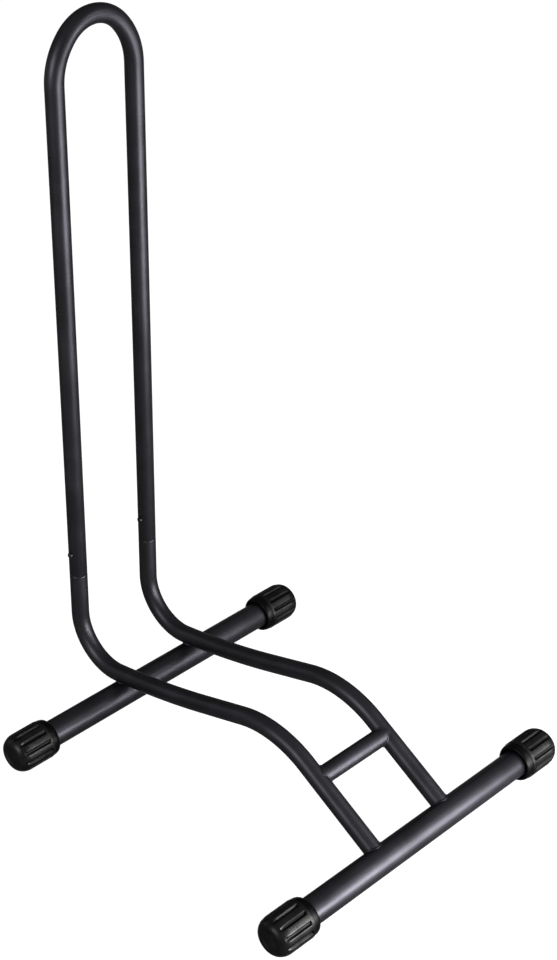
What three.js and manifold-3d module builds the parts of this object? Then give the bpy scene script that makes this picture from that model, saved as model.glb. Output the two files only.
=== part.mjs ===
// Floor rack for one bicycle: a bent steel hoop on a welded foot frame with ribbed rubber caps.
// Millimetres, +Z up. The wheel comes in from -Y. The rack stands on z = 0, centred over the origin.

import * as THREE from "three";
import { mergeVertices } from "three/addons/utils/BufferGeometryUtils.js";
import Module from "manifold-3d";

const wasm = await Module();
wasm.setup();

// ---------------------------------------------------------------- driving dimensions

const CLEARANCE = 0.3; // between pieces that fit or rest on each other

// Steel tubes
const FRAME_TUBE_DIAMETER = 19.05;
const FOOT_TUBE_DIAMETER = 28.6;
const TUBE_WALL = 1.5;
const FOOT_TUBE_LENGTH = 398;

// Layout, seen from the side: the side tube rises from the front foot, rests on the rear foot,
// then bends up into the leg
const FOOT_SPACING = 370;
const RISE_ANGLE = THREE.MathUtils.degToRad(30.7);
const CREST_DISTANCE = 164.7; // front foot axis to the corner of the crest bend
const CREST_RADIUS = 111;
const SWEEP_REACH = 66; // the gentle sweep's corner lies this far ahead of the seat
const SEAT_FALL_ANGLE = THREE.MathUtils.degToRad(9.2);
const SEAT_TO_BEND = 3; // straight stretch between the seat and the leg bend
const LEG_BEND_RADIUS = 51;
const CROSSBAR_DISTANCE = 98.6; // along the side tube, from the front foot axis

// Hoop
const LEG_SPACING = 99;
const SEAM_HEIGHT = 124.3; // lower end of the hoop, above the foot axis
const HOOP_LEG_LENGTH = 538.4; // straight part of each leg
const SHOULDER_RADIUS = 64.4; // the arch has three centres: two shoulders and a tighter top
const CROWN_RADIUS = 43.8;

// Swaged neck of the side tube, inside the hoop's leg
const NECK_LENGTH = 50;
const SEAT_ROUNDING = 1.8; // height of the rounded shoulder under the hoop
const NECK_TAPER = 4; // length of the inner taper below the shoulder
const NECK_TIP_CHAMFER = 1;

// Snap button and its hairpin spring
const BUTTON_HEIGHT = 26; // above the seam
const BUTTON_DIAMETER = 6;
const BUTTON_PROUD = 2.7;
const BUTTON_DOME = 1.6;
const BUTTON_FLANGE_DIAMETER = 7.5;
const BUTTON_FLANGE = 0.8;
const SPRING_THICKNESS = 0.6;
const SPRING_WIDTH = 5;
const SPRING_BEND = 1.8;
const SPRING_DROP = 34; // from the button down to the hairpin's bend
const SPRING_OVERRUN = 4; // arms past the button

// Rubber caps
const CAP_LENGTH = 52;
const CAP_WALL = 6.2; // from the bore to the lands
const CAP_END_WALL = 6.7;
const CAP_END_ROUND_LENGTH = 13.6;
const CAP_END_ROUND_DEPTH = 9.2;
const CAP_DOME = 1.8;
const CAP_LIP_LENGTH = 7.5; // rounded shoulder of the mouth
const CAP_LIP_DEPTH = 2.9;
const CAP_LIP_WALL = 1.3;
const CAP_RECESS = 7; // recess in the mouth, round the tube
const FLUTE_COUNT = 12;
const FLUTE_WIDTH = 4;
const FLUTE_DEPTH = 1.8;
const FLUTE_START = 9.7; // from the mouth

// Weld beads
const BEAD_RADIUS = 1.7;
const BEAD_OFFSET = 0.6; // bead centre above each tube's surface
const BEAD_SADDLE = 3; // rounds the bead's turn where two equal tubes meet

// Facets
const TUBE_SIDES = 24;
const BORE_SIDES = 12;
const CAP_SIDES = 36;
const BUTTON_SIDES = 16;
const BEAD_SIDES = 6;
const BEAD_STEPS = 16;
const CURVE_STEPS = 4;
const BEND_SAG = 0.3; // chord error along a bend
const CUT_MARGIN = 1; // cutters run this far past what they cut

// ---------------------------------------------------------------- derived sizes

const FRAME_R = FRAME_TUBE_DIAMETER / 2;
const FRAME_BORE_R = FRAME_R - TUBE_WALL;
const FOOT_R = FOOT_TUBE_DIAMETER / 2;
const NECK_R = FRAME_BORE_R - CLEARANCE;
const NECK_BORE_R = NECK_R - TUBE_WALL;
const CAP_BORE_R = FOOT_R + CLEARANCE;
const CAP_R = CAP_BORE_R + CAP_WALL;
const LIP_R = CAP_R - CAP_LIP_DEPTH;
const CAP_APEX = FOOT_TUBE_LENGTH / 2 + CLEARANCE + CAP_END_WALL;

// The caps stand on the flat facet at their lowest side
const FOOT_Z = CAP_R * Math.cos(Math.PI / CAP_SIDES);
const SEAM_Z = FOOT_Z + SEAM_HEIGHT;
const BUTTON_Z = SEAM_Z + BUTTON_HEIGHT;
const LEG_TOP_Z = SEAM_Z + HOOP_LEG_LENGTH;
const NECK_TOP_Z = SEAM_Z + NECK_LENGTH;
const SHOULDER_TOP_Z = SEAM_Z - CLEARANCE;

const heading = (angle) => new THREE.Vector3(0, Math.cos(angle), Math.sin(angle));
const X_AXIS = new THREE.Vector3(1, 0, 0);

// Corners of the side tube's centreline in the plane x = 0, with the front foot axis at y = 0
const sideLine = (() => {
  const front = new THREE.Vector3(0, 0, FOOT_Z);
  const rear = new THREE.Vector3(0, FOOT_SPACING, FOOT_Z);
  const fall = heading(-SEAT_FALL_ANGLE);
  const upFromFoot = heading(Math.PI / 2 - SEAT_FALL_ANGLE);
  const seat = rear.clone().addScaledVector(upFromFoot, FOOT_R + CLEARANCE + FRAME_R);
  const crest = front.clone().addScaledVector(heading(RISE_ANGLE), CREST_DISTANCE);
  const sweep = seat.clone().addScaledVector(fall, -SWEEP_REACH);
  const legTurn = Math.PI / 2 + SEAT_FALL_ANGLE;
  const bendReach = LEG_BEND_RADIUS * Math.tan(legTurn / 2);
  const heel = seat.clone().addScaledVector(fall, SEAT_TO_BEND + bendReach);
  const middle = sweep.clone().sub(crest);
  const sweepTurn = Math.atan2(-middle.z, middle.y) - SEAT_FALL_ANGLE;
  const sweepRadius = SWEEP_REACH / Math.tan(sweepTurn / 2);
  return { front, rear, seat, crest, sweep, heel, fall, upFromFoot, sweepRadius };
})();

// Shift that puts the middle of the rack's depth over the origin
const DEPTH_FRONT = -CAP_R * Math.cos(Math.PI / CAP_SIDES);
const DEPTH_REAR = Math.max(sideLine.heel.y + FRAME_R, FOOT_SPACING - DEPTH_FRONT);
const FRONT_FOOT_Y = -(DEPTH_FRONT + DEPTH_REAR) / 2;
const REAR_FOOT_Y = FRONT_FOOT_Y + FOOT_SPACING;
const LEG_Y = FRONT_FOOT_Y + sideLine.heel.y;

// ---------------------------------------------------------------- solids

function toSolid(geometry) {
  geometry.deleteAttribute("normal");
  geometry.deleteAttribute("uv");
  const merged = mergeVertices(geometry, 1e-4);
  const vertProperties = new Float32Array(merged.attributes.position.array);
  const triVerts = new Uint32Array(merged.index.array);
  const build = () => new wasm.Manifold(new wasm.Mesh({ numProp: 3, vertProperties, triVerts }));
  const solid = build();
  if (solid.volume() > 0) {
    return solid;
  }
  triVerts.reverse();
  return build();
}

function toMesh(name, solid, material) {
  const { vertProperties, triVerts } = solid.getMesh();
  const geometry = new THREE.BufferGeometry();
  geometry.setAttribute("position", new THREE.BufferAttribute(vertProperties, 3));
  geometry.setIndex(new THREE.BufferAttribute(triVerts, 1));
  geometry.computeVertexNormals();
  const mesh = new THREE.Mesh(geometry, material);
  mesh.name = name;
  return mesh;
}

function ring(radius, sides) {
  const corners = Array.from({ length: sides }, (_, i) => {
    const angle = (2 * Math.PI * i) / sides;
    return new THREE.Vector2(radius * Math.cos(angle), radius * Math.sin(angle));
  });
  return new THREE.Shape(corners);
}

// A centreline of straight runs and round bends, with a station at each end of a straight run
// and as many along each bend as its chord error asks for
class BentLine extends THREE.Curve {
  constructor(corners, radii, overrun = 0) {
    super();
    const first = corners[0].clone();
    const last = corners.at(-1).clone();
    const firstWay = corners[1].clone().sub(first).normalize();
    const lastWay = last.clone().sub(corners.at(-2)).normalize();
    this.stations = [{ point: first.addScaledVector(firstWay, -overrun), way: firstWay }];
    radii.forEach((radius, i) => {
      this.addBend(corners[i], corners[i + 1], corners[i + 2], radius);
    });
    this.stations.push({ point: last.addScaledVector(lastWay, overrun), way: lastWay });
  }

  addBend(before, corner, after, radius) {
    const wayIn = corner.clone().sub(before).normalize();
    const wayOut = after.clone().sub(corner).normalize();
    const turn = wayIn.angleTo(wayOut);
    const axis = wayIn.clone().cross(wayOut).normalize();
    const start = corner.clone().addScaledVector(wayIn, -radius * Math.tan(turn / 2));
    const toCentre = axis.clone().cross(wayIn);
    const centre = start.clone().addScaledVector(toCentre, radius);
    const steps = Math.ceil(turn / (2 * Math.acos(1 - BEND_SAG / radius)));
    for (let i = 0; i <= steps; i++) {
      const angle = (turn * i) / steps;
      const spoke = toCentre.clone().multiplyScalar(-radius).applyAxisAngle(axis, angle);
      this.stations.push({
        point: centre.clone().add(spoke),
        way: wayIn.clone().applyAxisAngle(axis, angle),
      });
    }
  }

  get steps() {
    return this.stations.length - 1;
  }

  getPointAt(share, target = new THREE.Vector3()) {
    return target.copy(this.stations[Math.round(share * this.steps)].point);
  }

  getTangentAt(share, target = new THREE.Vector3()) {
    return target.copy(this.stations[Math.round(share * this.steps)].way);
  }
}

function sweep(line, section) {
  return toSolid(new THREE.ExtrudeGeometry(section, { steps: line.steps, extrudePath: line }));
}

function rod(from, to, radius, sides) {
  return sweep(new BentLine([from, to], []), ring(radius, sides));
}

// A revolve about +Z of a closed outline of [radius, height] pairs
function revolve(outline, sides, turn = 0) {
  const points = outline.map(([radius, height]) => new THREE.Vector2(Math.max(radius, 0), height));
  const geometry = new THREE.LatheGeometry(points, sides, turn);
  return toSolid(geometry.rotateX(Math.PI / 2));
}

// Quarter of an ellipse, from the point at right angles to its length to the point on its length
function quarterEllipse(steps, radiusAt, heightAt) {
  return Array.from({ length: steps + 1 }, (_, i) => {
    const angle = (Math.PI / 2) * (i / steps);
    return [radiusAt(angle), heightAt(angle)];
  });
}

// ---------------------------------------------------------------- side tubes

function sideTubeLine(x, topZ, overrun = 0) {
  const { front, crest, sweep: sweepCorner, heel, sweepRadius } = sideLine;
  const top = new THREE.Vector3(0, heel.y, topZ);
  const place = new THREE.Vector3(x, FRONT_FOOT_Y, 0);
  const corners = [front, crest, sweepCorner, heel, top].map((corner) => corner.clone().add(place));
  return new BentLine(corners, [CREST_RADIUS, sweepRadius, LEG_BEND_RADIUS], overrun);
}

function thickSideTube(x, extra) {
  return sweep(sideTubeLine(x, SHOULDER_TOP_Z), ring(FRAME_R + extra, TUBE_SIDES));
}

function footSolid(y, radius, length = FOOT_TUBE_LENGTH, sides = TUBE_SIDES) {
  const half = length / 2;
  const left = new THREE.Vector3(-half, y, FOOT_Z);
  const right = new THREE.Vector3(half, y, FOOT_Z);
  return rod(left, right, radius, sides);
}

// What is cut away round the neck: everything outside the shoulder and the chamfered tip
function neckCutter() {
  const outside = FRAME_R + CUT_MARGIN;
  const shoulder = quarterEllipse(
    CURVE_STEPS,
    (angle) => NECK_R + (FRAME_R + CLEARANCE - NECK_R) * Math.sin(angle),
    (angle) => SHOULDER_TOP_Z - SEAT_ROUNDING * (1 - Math.cos(angle)),
  );
  const tip = [
    [outside, NECK_TOP_Z + CUT_MARGIN],
    [NECK_R - NECK_TIP_CHAMFER - CUT_MARGIN, NECK_TOP_Z + CUT_MARGIN],
    [NECK_R, NECK_TOP_Z - NECK_TIP_CHAMFER],
  ];
  const outline = [...shoulder, [outside, shoulder.at(-1)[1]], ...tip, shoulder[0]];
  return revolve(outline, TUBE_SIDES);
}

function neckBore() {
  const taperTop = SHOULDER_TOP_Z - SEAT_ROUNDING;
  const taperFoot = taperTop - NECK_TAPER;
  return revolve(
    [
      [0, taperFoot - CUT_MARGIN],
      [FRAME_BORE_R, taperFoot - CUT_MARGIN],
      [FRAME_BORE_R, taperFoot],
      [NECK_BORE_R, taperTop],
      [NECK_BORE_R, NECK_TOP_Z + CUT_MARGIN],
      [0, NECK_TOP_Z + CUT_MARGIN],
    ],
    BORE_SIDES,
  );
}

function buttonHole(x) {
  const from = new THREE.Vector3(x, LEG_Y, BUTTON_Z);
  const to = new THREE.Vector3(x - FRAME_R - CUT_MARGIN, LEG_Y, BUTTON_Z);
  return rod(from, to, BUTTON_DIAMETER / 2 + CLEARANCE, BUTTON_SIDES);
}

function sideTube(x) {
  const outer = sweep(sideTubeLine(x, NECK_TOP_Z), ring(FRAME_R, TUBE_SIDES));
  const boreTop = SHOULDER_TOP_Z - SEAT_ROUNDING - NECK_TAPER;
  const bore = sweep(sideTubeLine(x, boreTop), ring(FRAME_BORE_R, BORE_SIDES));
  return outer
    .subtract(neckCutter().translate(x, LEG_Y, 0))
    .subtract(bore)
    .subtract(neckBore().translate(x, LEG_Y, 0))
    .subtract(footSolid(FRONT_FOOT_Y, FOOT_R + CLEARANCE))
    .subtract(buttonHole(x));
}

// ---------------------------------------------------------------- hoop

function hoopLine(overrun = 0) {
  const half = LEG_SPACING / 2;
  const lean = Math.acos((SHOULDER_RADIUS - half) / (SHOULDER_RADIUS - CROWN_RADIUS));
  const corner = (sign, run, rise) => new THREE.Vector3(sign * run, LEG_Y, LEG_TOP_Z + rise);
  const shoulderReach = SHOULDER_RADIUS * Math.tan(lean / 2);
  const crownReach = CROWN_RADIUS * Math.tan((Math.PI / 2 - lean) / 2);
  const crownTop = (SHOULDER_RADIUS - CROWN_RADIUS) * Math.sin(lean) + CROWN_RADIUS;
  const corners = [
    new THREE.Vector3(-half, LEG_Y, SEAM_Z),
    corner(-1, half, shoulderReach),
    corner(-1, crownReach, crownTop),
    corner(1, crownReach, crownTop),
    corner(1, half, shoulderReach),
    new THREE.Vector3(half, LEG_Y, SEAM_Z),
  ];
  const radii = [SHOULDER_RADIUS, CROWN_RADIUS, CROWN_RADIUS, SHOULDER_RADIUS];
  return new BentLine(corners, radii, overrun);
}

function upperHoop() {
  const outer = sweep(hoopLine(), ring(FRAME_R, TUBE_SIDES));
  const bore = sweep(hoopLine(CUT_MARGIN), ring(FRAME_BORE_R, BORE_SIDES));
  return outer
    .subtract(bore)
    .subtract(buttonHole(-LEG_SPACING / 2))
    .subtract(buttonHole(LEG_SPACING / 2));
}

// ---------------------------------------------------------------- straight tubes

function footTube(y) {
  const bore = footSolid(y, FOOT_R - TUBE_WALL, FOOT_TUBE_LENGTH + 2 * CUT_MARGIN, BORE_SIDES);
  return footSolid(y, FOOT_R).subtract(bore);
}

const CROSSBAR_CENTRE = sideLine.front
  .clone()
  .addScaledVector(heading(RISE_ANGLE), CROSSBAR_DISTANCE)
  .add(new THREE.Vector3(0, FRONT_FOOT_Y, 0));

function crossbar() {
  const ends = [-1, 1].map((sign) => {
    return CROSSBAR_CENTRE.clone().addScaledVector(X_AXIS, (sign * LEG_SPACING) / 2);
  });
  const outer = rod(ends[0], ends[1], FRAME_R, TUBE_SIDES);
  const bore = rod(ends[0], ends[1], FRAME_BORE_R, BORE_SIDES);
  return outer
    .subtract(bore)
    .subtract(thickSideTube(-LEG_SPACING / 2, CLEARANCE))
    .subtract(thickSideTube(LEG_SPACING / 2, CLEARANCE));
}

// ---------------------------------------------------------------- weld beads

// A bead is a torus bent onto the joint: frameAt gives, for each angle round the joint, the
// bead's centre, its way outward and the joint's axis
function bead(frameAt, neighbours) {
  const torus = new THREE.TorusGeometry(1, BEAD_RADIUS, BEAD_SIDES, BEAD_STEPS);
  const position = torus.attributes.position;
  const vertex = new THREE.Vector3();
  for (let i = 0; i < position.count; i++) {
    const step = i % (BEAD_STEPS + 1);
    const angle = (2 * Math.PI * step) / BEAD_STEPS;
    vertex.fromBufferAttribute(position, i);
    const out = vertex.x * Math.cos(angle) + vertex.y * Math.sin(angle) - 1;
    const { centre, outward, axis } = frameAt(angle);
    const placed = centre.clone().addScaledVector(outward, out).addScaledVector(axis, vertex.z);
    position.setXYZ(i, placed.x, placed.y, placed.z);
  }
  return neighbours.reduce((solid, other) => solid.subtract(other), toSolid(torus));
}

// Bead round the end of a branch tube that runs along `axis` into the middle of another tube
function endBead(origin, axis, sideways, branchR, mainR, saddle, neighbours) {
  const across = axis.clone().cross(sideways);
  const branch = branchR + BEAD_OFFSET;
  const main = mainR + BEAD_OFFSET;
  const frameAt = (angle) => {
    const outward = sideways.clone().multiplyScalar(Math.cos(angle));
    outward.addScaledVector(across, Math.sin(angle));
    const lift = branch * Math.sin(angle);
    const along = Math.sqrt(Math.max(main * main - lift * lift, 0) + saddle * saddle);
    const centre = origin.clone().addScaledVector(outward, branch).addScaledVector(axis, along);
    return { centre, outward, axis };
  };
  return bead(frameAt, neighbours);
}

function frontWeld(x) {
  const origin = new THREE.Vector3(x, FRONT_FOOT_Y, FOOT_Z);
  const foot = footSolid(FRONT_FOOT_Y, FOOT_R + CLEARANCE);
  const neighbours = [thickSideTube(x, CLEARANCE), foot];
  return endBead(origin, heading(RISE_ANGLE), X_AXIS, FRAME_R, FOOT_R, 0, neighbours);
}

function crossbarWeld(sign) {
  const x = (sign * LEG_SPACING) / 2;
  const origin = CROSSBAR_CENTRE.clone().setX(x);
  const axis = X_AXIS.clone().multiplyScalar(-sign);
  const reach = origin.clone().addScaledVector(axis, LEG_SPACING / 2);
  const bar = rod(origin, reach, FRAME_R + CLEARANCE, TUBE_SIDES);
  const neighbours = [bar, thickSideTube(x, CLEARANCE)];
  return endBead(origin, axis, heading(RISE_ANGLE), FRAME_R, FRAME_R, BEAD_SADDLE, neighbours);
}

// Bead round the seat where the side tube rests on the rear foot
function rearWeld(x) {
  const foot = FOOT_R + BEAD_OFFSET;
  const side = FRAME_R + BEAD_OFFSET;
  const apart = FOOT_R + CLEARANCE + FRAME_R;
  const halfWidth = Math.sqrt(side * side - (apart - foot) * (apart - foot));
  const origin = new THREE.Vector3(x, REAR_FOOT_Y, FOOT_Z);
  const frameAt = (angle) => {
    const across = halfWidth * Math.cos(angle);
    const drop = Math.sqrt(side * side - across * across);
    const reach = Math.sqrt(Math.max(foot * foot - (apart - drop) * (apart - drop), 0));
    const along = Math.sign(Math.sin(angle)) * reach;
    const outward = X_AXIS.clone().multiplyScalar(Math.cos(angle));
    outward.addScaledVector(sideLine.fall, Math.sin(angle));
    const centre = origin.clone().addScaledVector(X_AXIS, across);
    centre.addScaledVector(sideLine.fall, along).addScaledVector(sideLine.upFromFoot, apart - drop);
    return { centre, outward, axis: sideLine.upFromFoot };
  };
  return bead(frameAt, [thickSideTube(x, CLEARANCE), footSolid(REAR_FOOT_Y, FOOT_R + CLEARANCE)]);
}

// ---------------------------------------------------------------- snap buttons and springs

function snapButton(x) {
  const stemR = BUTTON_DIAMETER / 2;
  const tip = FRAME_R + BUTTON_PROUD;
  const flangeFoot = NECK_BORE_FLAT - BUTTON_FLANGE;
  const dome = quarterEllipse(
    CURVE_STEPS,
    (angle) => stemR * Math.cos(angle),
    (angle) => tip - BUTTON_DOME * (1 - Math.sin(angle)),
  );
  const outline = [
    [0, flangeFoot],
    [BUTTON_FLANGE_DIAMETER / 2, flangeFoot],
    [BUTTON_FLANGE_DIAMETER / 2, NECK_BORE_FLAT],
    [stemR, NECK_BORE_FLAT],
    ...dome,
  ];
  return revolve(outline, BUTTON_SIDES).rotate(0, -90, 0).translate(x, LEG_Y, BUTTON_Z);
}

// How far from the neck's axis something of the given width can lie inside the neck's bore
function reachInNeck(width) {
  const limit = NECK_BORE_R * Math.cos(Math.PI / BORE_SIDES) - CLEARANCE;
  return Math.sqrt(limit * limit - (width * width) / 4);
}

const NECK_BORE_FLAT = reachInNeck(BUTTON_FLANGE_DIAMETER);

function buttonSpring(x) {
  const armUnderButton = NECK_BORE_FLAT - BUTTON_FLANGE - CLEARANCE - SPRING_THICKNESS / 2;
  const armOnWall = reachInNeck(SPRING_WIDTH) - SPRING_THICKNESS / 2;
  const top = BUTTON_Z + SPRING_OVERRUN;
  const foot = BUTTON_Z - SPRING_DROP;
  const bendStart = armOnWall - 2 * SPRING_BEND - SPRING_THICKNESS;
  const at = (towardsButton, z) => new THREE.Vector3(x - towardsButton, LEG_Y, z);
  const corners = [
    at(armUnderButton, top),
    at(-bendStart, foot),
    at(-armOnWall, foot),
    at(-armOnWall, top),
  ];
  const section = new THREE.Shape([
    new THREE.Vector2(-SPRING_WIDTH / 2, -SPRING_THICKNESS / 2),
    new THREE.Vector2(SPRING_WIDTH / 2, -SPRING_THICKNESS / 2),
    new THREE.Vector2(SPRING_WIDTH / 2, SPRING_THICKNESS / 2),
    new THREE.Vector2(-SPRING_WIDTH / 2, SPRING_THICKNESS / 2),
  ]);
  return sweep(new BentLine(corners, [SPRING_BEND, SPRING_BEND]), section);
}

// ---------------------------------------------------------------- caps

// The cap's outside, from the mouth at height 0 to the domed end at CAP_LENGTH
function capBody() {
  const lip = quarterEllipse(
    CURVE_STEPS,
    (angle) => LIP_R + CAP_LIP_DEPTH * Math.sin(angle),
    (angle) => CAP_LIP_LENGTH * (1 - Math.cos(angle)),
  );
  const endFlat = CAP_LENGTH - CAP_DOME;
  const end = quarterEllipse(
    CURVE_STEPS,
    (angle) => CAP_R - CAP_END_ROUND_DEPTH * (1 - Math.cos(angle)),
    (angle) => endFlat - CAP_END_ROUND_LENGTH * (1 - Math.sin(angle)),
  );
  return revolve([[0, 0], ...lip, ...end, [0, CAP_LENGTH]], CAP_SIDES, Math.PI / CAP_SIDES);
}

function capBore() {
  const boreEnd = CAP_LENGTH - CAP_END_WALL;
  const recessR = LIP_R - CAP_LIP_WALL;
  return revolve(
    [
      [0, -CUT_MARGIN],
      [recessR, -CUT_MARGIN],
      [recessR, CAP_RECESS],
      [CAP_BORE_R, CAP_RECESS],
      [CAP_BORE_R, boreEnd],
      [0, boreEnd],
    ],
    TUBE_SIDES,
  );
}

function flute(index) {
  const length = CAP_LENGTH - FLUTE_START + CUT_MARGIN;
  const depth = FLUTE_DEPTH + CUT_MARGIN;
  const box = new THREE.BoxGeometry(depth, FLUTE_WIDTH, length);
  const angle = (2 * Math.PI * index) / FLUTE_COUNT;
  box.translate(CAP_R - FLUTE_DEPTH + depth / 2, 0, FLUTE_START + length / 2);
  return toSolid(box.rotateZ(angle));
}

const capSolid = (() => {
  let solid = capBody().subtract(capBore());
  for (let i = 0; i < FLUTE_COUNT; i++) {
    solid = solid.subtract(flute(i));
  }
  return solid;
})();

function cap(sign, y) {
  return capSolid.rotate(0, sign * 90, 0).translate(sign * (CAP_APEX - CAP_LENGTH), y, FOOT_Z);
}

// ---------------------------------------------------------------- assembly

function finish(color, roughness, metalness) {
  return new THREE.MeshStandardMaterial({ color, roughness, metalness });
}

const blackPowderCoat = finish(0x232326, 0.42, 0.25);
const blackRubber = finish(0x1b1b1b, 0.75, 0);
const blackenedSteel = finish(0x38383a, 0.4, 0.9);

const rack = new THREE.Group();
rack.add(toMesh("upper_hoop", upperHoop(), blackPowderCoat));
rack.add(toMesh("crossbar", crossbar(), blackPowderCoat));

const SIDES = [
  { side: "left", sign: -1 },
  { side: "right", sign: 1 },
];
const FEET = [
  { end: "front", y: FRONT_FOOT_Y },
  { end: "rear", y: REAR_FOOT_Y },
];

for (const { side, sign } of SIDES) {
  const x = (sign * LEG_SPACING) / 2;
  rack.add(toMesh(`${side}_side_tube`, sideTube(x), blackPowderCoat));
  rack.add(toMesh(`${side}_front_weld`, frontWeld(x), blackPowderCoat));
  rack.add(toMesh(`${side}_rear_weld`, rearWeld(x), blackPowderCoat));
  rack.add(toMesh(`${side}_crossbar_weld`, crossbarWeld(sign), blackPowderCoat));
  rack.add(toMesh(`${side}_snap_button`, snapButton(x), blackenedSteel));
  rack.add(toMesh(`${side}_button_spring`, buttonSpring(x), blackenedSteel));
}

for (const { end, y } of FEET) {
  rack.add(toMesh(`${end}_foot_tube`, footTube(y), blackPowderCoat));
  for (const { side, sign } of SIDES) {
    rack.add(toMesh(`${end}_${side}_cap`, cap(sign, y), blackRubber));
  }
}

export default rack;
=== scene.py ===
"""Floor bike rack: smooth tubes, welds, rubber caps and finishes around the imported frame.

Metres, +Z up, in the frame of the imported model. The wheel comes in from -Y.
"""

import math
from collections import namedtuple

import bmesh
import bpy
from mathutils import Matrix, Vector


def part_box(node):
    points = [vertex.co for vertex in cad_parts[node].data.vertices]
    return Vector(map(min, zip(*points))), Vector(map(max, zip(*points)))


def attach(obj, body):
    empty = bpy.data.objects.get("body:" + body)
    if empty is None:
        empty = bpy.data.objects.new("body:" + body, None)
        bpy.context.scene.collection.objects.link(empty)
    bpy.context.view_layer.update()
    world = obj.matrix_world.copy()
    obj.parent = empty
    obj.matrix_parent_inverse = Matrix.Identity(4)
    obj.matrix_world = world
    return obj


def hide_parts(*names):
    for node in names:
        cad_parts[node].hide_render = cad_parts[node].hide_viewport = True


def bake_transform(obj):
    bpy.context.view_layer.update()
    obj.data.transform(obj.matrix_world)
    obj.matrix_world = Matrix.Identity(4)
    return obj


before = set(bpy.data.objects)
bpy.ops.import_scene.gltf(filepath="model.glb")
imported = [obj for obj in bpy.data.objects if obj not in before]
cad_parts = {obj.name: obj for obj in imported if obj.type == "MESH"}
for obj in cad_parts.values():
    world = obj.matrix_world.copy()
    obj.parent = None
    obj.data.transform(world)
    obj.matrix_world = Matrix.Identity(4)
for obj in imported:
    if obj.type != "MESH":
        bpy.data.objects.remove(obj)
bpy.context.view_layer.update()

MM = 0.001
X_AXIS = Vector((1, 0, 0))
Y_AXIS = Vector((0, 1, 0))
Z_AXIS = Vector((0, 0, 1))

# ---------------------------------------------------------------- sizes read from the frame

HOOP_LOW, HOOP_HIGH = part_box("upper_hoop")
FRONT_LOW, FRONT_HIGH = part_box("front_foot_tube")
REAR_LOW, REAR_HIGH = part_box("rear_foot_tube")
BAR_LOW, BAR_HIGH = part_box("crossbar")
CAP_LOW, CAP_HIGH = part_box("front_right_cap")
BUTTON_LOW, BUTTON_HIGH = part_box("left_snap_button")

FRAME_R = (HOOP_HIGH.y - HOOP_LOW.y) / 2
FOOT_R = (FRONT_HIGH.y - FRONT_LOW.y) / 2
LEG_X = HOOP_HIGH.x - FRAME_R
LEG_Y = (HOOP_HIGH.y + HOOP_LOW.y) / 2
SEAM_Z = HOOP_LOW.z
HOOP_TOP_Z = HOOP_HIGH.z
FOOT_Z = (FRONT_HIGH.z + FRONT_LOW.z) / 2
FRONT_Y = (FRONT_HIGH.y + FRONT_LOW.y) / 2
REAR_Y = (REAR_HIGH.y + REAR_LOW.y) / 2
BAR_CENTRE = Vector((0, (BAR_HIGH.y + BAR_LOW.y) / 2, (BAR_HIGH.z + BAR_LOW.z) / 2))
CAP_R = CAP_HIGH.z / 2
CAP_END_X = CAP_HIGH.x
CAP_LENGTH = CAP_HIGH.x - CAP_LOW.x
BUTTON_R = (BUTTON_HIGH.z - BUTTON_LOW.z) / 2
BUTTON_Z = (BUTTON_HIGH.z + BUTTON_LOW.z) / 2
BUTTON_TIP = -LEG_X - BUTTON_LOW.x  # from the leg's axis to the top of the dome
BUTTON_BACK = -LEG_X - BUTTON_HIGH.x  # from the leg's axis to the underside of the flange

# ---------------------------------------------------------------- sizes that the frame doesn't state

CLEARANCE = 0.3 * MM
TUBE_WALL = 1.5 * MM
RIM_ROUNDING = 0.22 * MM

# Side tube, from the front foot's axis
RISE_ANGLE = math.radians(30.7)
CREST_DISTANCE = 164.7 * MM
CREST_RADIUS = 111 * MM
SWEEP_REACH = 66 * MM
SEAT_FALL_ANGLE = math.radians(9.2)
SEAT_TO_BEND = 3 * MM
LEG_BEND_RADIUS = 51 * MM

# Arch of the hoop
SHOULDER_RADIUS = 64.4 * MM
CROWN_RADIUS = 43.8 * MM

# Neck of the side tube, inside the hoop's leg
NECK_LENGTH = 50 * MM
SEAT_ROUNDING = 1.8 * MM
NECK_TAPER = 4 * MM
NECK_TIP_CHAMFER = 1 * MM
NECK_R = FRAME_R - TUBE_WALL - CLEARANCE
SHOULDER_TOP_Z = SEAM_Z - CLEARANCE
NECK_TOP_Z = SEAM_Z + NECK_LENGTH
NECK_ROWS = (2 * MM, 15 * MM, 35 * MM)  # above the shoulder, so that no face is very long

# Snap button and hairpin spring
BUTTON_STEM_R = 3 * MM
BUTTON_DOME = 1.6 * MM
BUTTON_FLANGE = 0.8 * MM
SPRING_THICKNESS = 0.6 * MM
SPRING_WIDTH = 5 * MM
SPRING_BEND = 1.8 * MM
SPRING_DROP = 34 * MM
SPRING_OVERRUN = 4 * MM

# Rubber cap
CAP_BORE_R = FOOT_R + CLEARANCE
CAP_END_WALL = 6.7 * MM
CAP_END_ROUND_LENGTH = 13.6 * MM
CAP_END_ROUND_DEPTH = 9.2 * MM
CAP_DOME = 1.8 * MM
CAP_LIP_LENGTH = 7.5 * MM
CAP_LIP_DEPTH = 2.9 * MM
CAP_LIP_WALL = 1.3 * MM
CAP_LIP_ROUNDING = 0.4 * MM
CAP_LIP_DROP = 0.05 * MM  # from the rim's top to the start of its rounded outside
CAP_RECESS = 7 * MM
COLLAR_START = 8.3 * MM
COLLAR_STEP = 0.5 * MM
FLUTE_COUNT = 12
FLUTE_WIDTH = 4.6 * MM
FLUTE_DEPTH = 2 * MM
FLUTE_START = 11.7 * MM
FLUTE_WALL = 1.5 * MM  # width of a flute's sloping wall, seen from outside
FLUTE_END_WALL = 0.6 * MM  # width of the wall that closes a flute towards the mouth
FLUTE_ROUNDING = 0.12  # of a wall's width, at its two edges
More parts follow.
